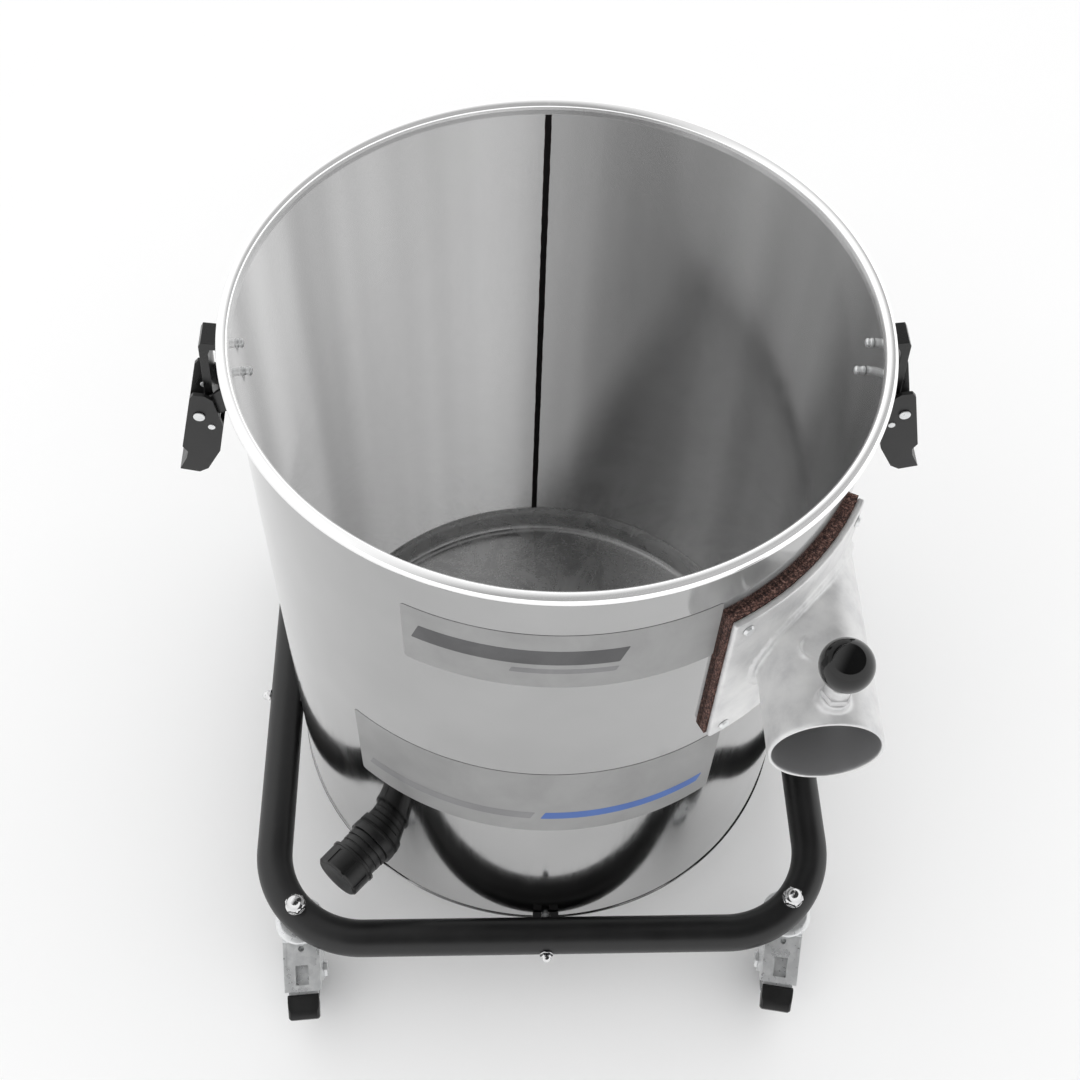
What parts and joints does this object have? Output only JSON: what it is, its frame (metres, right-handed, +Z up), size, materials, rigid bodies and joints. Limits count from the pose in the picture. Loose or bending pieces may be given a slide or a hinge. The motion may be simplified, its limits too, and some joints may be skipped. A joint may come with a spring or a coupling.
{
  "type": "dust collector drum",
  "caption": "Open-top stainless collecting drum with a tangential hose inlet, capped drain and head latches, bolted in a tube loop on braked casters.",
  "frame": {"origin": "floor level, on the drum's axis", "axes": "+Z up along the drum's axis, -Y to the front, where the hose inlet's mouth points, +X to the inlet's side"},
  "size_m": [0.56, 0.5962, 0.6325],
  "materials": {
    "polished_stainless": "mirror-polished stainless sheet",
    "satin_stainless": "dull, smudged stainless",
    "seam_black": "dark sealed weld line",
    "label_film": "frosted translucent film",
    "black_powder_coat": "satin black powder coat",
    "zinc_plated_steel": "bright zinc plate",
    "chromed_nuts": "polished chrome",
    "cast_aluminium": "fine as-cast and fettled",
    "cork_rubber": "speckled cork and rubber sheet",
    "seal_rubber": "matte",
    "black_moulding": "satin moulded plastic",
    "latch_steel": "black painted pressing",
    "grey_tread": "smooth grey tread",
    "wheel_core": "moulded wheel core",
    "gloss_knob": "polished black ball"
  },
  "bodies": {
    "drum": {"drum_shell": "polished_stainless", "drum_base": "satin_stainless", "drum_floor": "satin_stainless", "drum_seam": "seam_black", "label_upper": "label_film", "label_lower": "label_film", "base_loop": "black_powder_coat", "frame_studs": "zinc_plated_steel", "frame_spacers": "black_powder_coat", "frame_dome_nuts": "chromed_nuts", "caster_stems": "zinc_plated_steel", "caster_race_cups": "zinc_plated_steel", "caster_balls": "chromed_nuts", "caster_acorn_nuts": "chromed_nuts", "inlet_casting": "cast_aluminium", "inlet_gasket": "cork_rubber", "inlet_fasteners": "zinc_plated_steel", "lock_guide": "cast_aluminium", "drain_fitting": "black_moulding", "drain_seal": "seal_rubber", "drain_locknut": "black_moulding", "latch_left_base": "latch_steel", "latch_left_pins": "zinc_plated_steel", "latch_right_base": "latch_steel", "latch_right_pins": "zinc_plated_steel", "latch_rivets": "zinc_plated_steel"},
    "caster_front_left_swivel": {"caster_front_left_fork": "zinc_plated_steel", "caster_front_left_axle": "zinc_plated_steel"},
    "caster_front_left_wheel": {"caster_front_left_tread": "grey_tread", "caster_front_left_hub": "wheel_core"},
    "caster_front_left_brake": {"caster_front_left_pedal": "zinc_plated_steel", "caster_front_left_pedal_tip": "black_moulding"},
    "caster_front_right_swivel": {"caster_front_right_fork": "zinc_plated_steel", "caster_front_right_axle": "zinc_plated_steel"},
    "caster_front_right_wheel": {"caster_front_right_tread": "grey_tread", "caster_front_right_hub": "wheel_core"},
    "caster_front_right_brake": {"caster_front_right_pedal": "zinc_plated_steel", "caster_front_right_pedal_tip": "black_moulding"},
    "caster_rear_left_swivel": {"caster_rear_left_fork": "zinc_plated_steel", "caster_rear_left_axle": "zinc_plated_steel"},
    "caster_rear_left_wheel": {"caster_rear_left_tread": "grey_tread", "caster_rear_left_hub": "wheel_core"},
    "caster_rear_left_brake": {"caster_rear_left_pedal": "zinc_plated_steel", "caster_rear_left_pedal_tip": "black_moulding"},
    "caster_rear_right_swivel": {"caster_rear_right_fork": "zinc_plated_steel", "caster_rear_right_axle": "zinc_plated_steel"},
    "caster_rear_right_wheel": {"caster_rear_right_tread": "grey_tread", "caster_rear_right_hub": "wheel_core"},
    "caster_rear_right_brake": {"caster_rear_right_pedal": "zinc_plated_steel", "caster_rear_right_pedal_tip": "black_moulding"},
    "latch_left_lever": {"latch_left_lever": "black_moulding", "latch_left_claw_pin": "zinc_plated_steel"},
    "latch_left_claw": {"latch_left_claw": "latch_steel"},
    "latch_right_lever": {"latch_right_lever": "black_moulding", "latch_right_claw_pin": "zinc_plated_steel"},
    "latch_right_claw": {"latch_right_claw": "latch_steel"},
    "lock_plunger": {"lock_pin": "zinc_plated_steel", "lock_knob": "gloss_knob", "lock_spring": "zinc_plated_steel"},
    "drain_cap": {"drain_cap": "black_moulding"}
  },
  "joints": [
    {"name": "caster_front_left_swivel", "type": "hinge", "parent": "drum", "child": "caster_front_left_swivel", "pos_m": [-0.2194, -0.2194, 0.08], "axis": [0, 0, 1], "continuous": true},
    {"name": "caster_front_left_roll", "type": "hinge", "parent": "caster_front_left_swivel", "child": "caster_front_left_wheel", "pos_m": [-0.21758, -0.24533, 0.031], "axis": [0.9976, 0.0698, 0], "continuous": true},
    {"name": "caster_front_left_brake", "type": "hinge", "parent": "caster_front_left_swivel", "child": "caster_front_left_brake", "pos_m": [-0.21828, -0.23536, 0.072], "axis": [0.9976, 0.0698, 0], "range_deg": [0, 4.5]},
    {"name": "caster_front_right_swivel", "type": "hinge", "parent": "drum", "child": "caster_front_right_swivel", "pos_m": [0.2194, -0.2194, 0.08], "axis": [0, 0, 1], "continuous": true},
    {"name": "caster_front_right_roll", "type": "hinge", "parent": "caster_front_right_swivel", "child": "caster_front_right_wheel", "pos_m": [0.21488, -0.245, 0.031], "axis": [0.9848, -0.1736, 0], "continuous": true},
    {"name": "caster_front_right_brake", "type": "hinge", "parent": "caster_front_right_swivel", "child": "caster_front_right_brake", "pos_m": [0.21662, -0.23515, 0.072], "axis": [0.9848, -0.1736, 0], "range_deg": [0, 4.5]},
    {"name": "caster_rear_left_swivel", "type": "hinge", "parent": "drum", "child": "caster_rear_left_swivel", "pos_m": [-0.2194, 0.2194, 0.08], "axis": [0, 0, 1], "continuous": true},
    {"name": "caster_rear_left_roll", "type": "hinge", "parent": "caster_rear_left_swivel", "child": "caster_rear_left_wheel", "pos_m": [-0.22391, 0.245, 0.031], "axis": [-0.9848, -0.1736, 0], "continuous": true},
    {"name": "caster_rear_left_brake", "type": "hinge", "parent": "caster_rear_left_swivel", "child": "caster_rear_left_brake", "pos_m": [-0.22218, 0.23515, 0.072], "axis": [-0.9848, -0.1736, 0], "range_deg": [0, 4.5]},
    {"name": "caster_rear_right_swivel", "type": "hinge", "parent": "drum", "child": "caster_rear_right_swivel", "pos_m": [0.2194, 0.2194, 0.08], "axis": [0, 0, 1], "continuous": true},
    {"name": "caster_rear_right_roll", "type": "hinge", "parent": "caster_rear_right_swivel", "child": "caster_rear_right_wheel", "pos_m": [0.22121, 0.24533, 0.031], "axis": [-0.9976, 0.0698, 0], "continuous": true},
    {"name": "caster_rear_right_brake", "type": "hinge", "parent": "caster_rear_right_swivel", "child": "caster_rear_right_brake", "pos_m": [0.22051, 0.23536, 0.072], "axis": [-0.9976, 0.0698, 0], "range_deg": [0, 4.5]},
    {"name": "latch_left_lever", "type": "hinge", "parent": "drum", "child": "latch_left_lever", "pos_m": [-0.256, 0, 0.548], "axis": [0, 1, 0], "range_deg": [0, 80]},
    {"name": "latch_left_claw", "type": "hinge", "parent": "latch_left_lever", "child": "latch_left_claw", "pos_m": [-0.249, 0, 0.536], "axis": [0, 1, 0], "range_deg": [-80, 0]},
    {"name": "latch_right_lever", "type": "hinge", "parent": "drum", "child": "latch_right_lever", "pos_m": [0.256, 0, 0.548], "axis": [0, -1, 0], "range_deg": [0, 80]},
    {"name": "latch_right_claw", "type": "hinge", "parent": "latch_right_lever", "child": "latch_right_claw", "pos_m": [0.249, 0, 0.536], "axis": [0, -1, 0], "range_deg": [-80, 0]},
    {"name": "lock_plunger", "type": "slide", "parent": "drum", "child": "lock_plunger", "axis": [0, 0, 1], "range_m": [-0.004, 0], "deforming": ["lock_spring"]},
    {"name": "drain_cap_turn", "type": "hinge", "parent": "drum", "child": "drain_cap", "pos_m": [-0.17228, -0.19473, 0.15], "axis": [-0.6626, -0.749, 0], "range_deg": [0, 540]}
  ],
  "couplings": [
    {"joint": "latch_left_claw", "follows": "latch_left_lever", "ratio": -1},
    {"joint": "latch_right_claw", "follows": "latch_right_lever", "ratio": -1}
  ]
}
